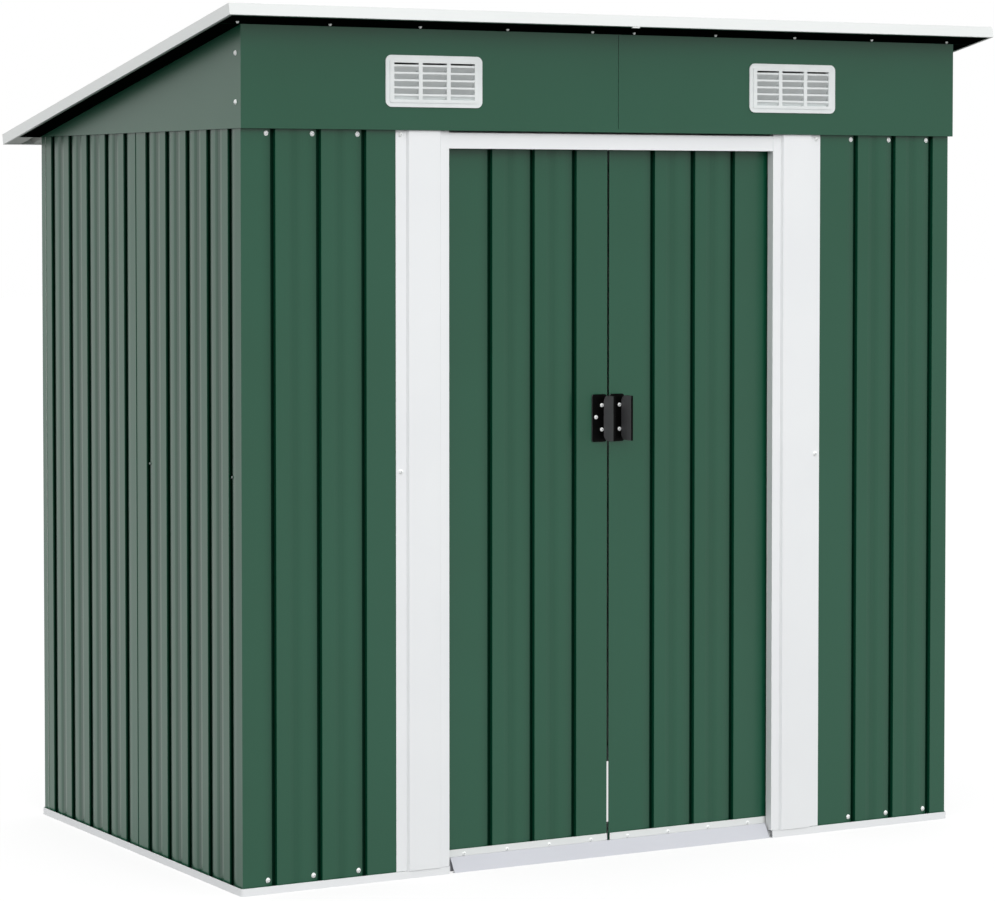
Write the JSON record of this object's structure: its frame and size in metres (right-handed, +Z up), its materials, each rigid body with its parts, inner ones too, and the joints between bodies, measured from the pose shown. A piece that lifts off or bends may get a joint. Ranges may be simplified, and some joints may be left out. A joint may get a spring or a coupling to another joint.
{
  "type": "metal storage shed",
  "caption": "Garden storage shed of ribbed painted steel sheet with a pent roof, vented fascia and a pair of sliding doors.",
  "frame": {"origin": "centre of the shed's plan box, on the ground", "axes": "+Z up, the doors face -Y, +X to the right of someone who faces the doors"},
  "size_m": [1.9, 1.24, 1.81],
  "materials": {
    "green_sheet": "glossy coil-coated steel sheet, dark green",
    "white_steel": "satin coil-coated steel, white",
    "zinc_steel": "bright galvanised steel",
    "white_plastic": "moulded white plastic",
    "black_plastic": "moulded black plastic"
  },
  "bodies": {
    "shed": {"base_rail_front": "white_steel", "base_rail_rear": "white_steel", "base_rail_left": "white_steel", "base_rail_right": "white_steel", "door_threshold": "white_steel", "lower_door_track": "zinc_steel", "front_left_panel": "green_sheet", "front_right_panel": "green_sheet", "left_wall_front_panel": "green_sheet", "left_wall_rear_panel": "green_sheet", "right_wall_front_panel": "green_sheet", "right_wall_rear_panel": "green_sheet", "rear_wall_left_panel": "green_sheet", "rear_wall_middle_panel": "green_sheet", "rear_wall_right_panel": "green_sheet", "wall_mid_rails": "zinc_steel", "wall_top_rails": "zinc_steel", "left_door_jamb": "white_steel", "right_door_jamb": "white_steel", "door_header": "white_steel", "front_fascia_left": "green_sheet", "front_fascia_right": "green_sheet", "left_gable": "green_sheet", "right_gable": "green_sheet", "left_vent": "white_plastic", "right_vent": "white_plastic", "roof_panel_left": "green_sheet", "roof_panel_middle": "green_sheet", "roof_panel_right": "green_sheet", "roof_beams": "zinc_steel", "roof_trim_front": "white_steel", "roof_trim_rear": "white_steel", "roof_trim_left": "white_steel", "roof_trim_right": "white_steel"},
    "left_door": {"left_door_panel": "green_sheet", "left_door_top_rail": "zinc_steel", "left_door_bottom_rail": "white_steel", "left_door_sliders": "black_plastic", "left_door_handle": "black_plastic"},
    "right_door": {"right_door_panel": "green_sheet", "right_door_top_rail": "zinc_steel", "right_door_bottom_rail": "white_steel", "right_door_sliders": "black_plastic", "right_door_handle": "black_plastic"}
  },
  "joints": [
    {"name": "left_door_slide", "type": "slide", "parent": "shed", "child": "left_door", "axis": [-1, 0, 0], "range_m": [0, 0.36]},
    {"name": "right_door_slide", "type": "slide", "parent": "shed", "child": "right_door", "axis": [1, 0, 0], "range_m": [0, 0.36]}
  ]
}
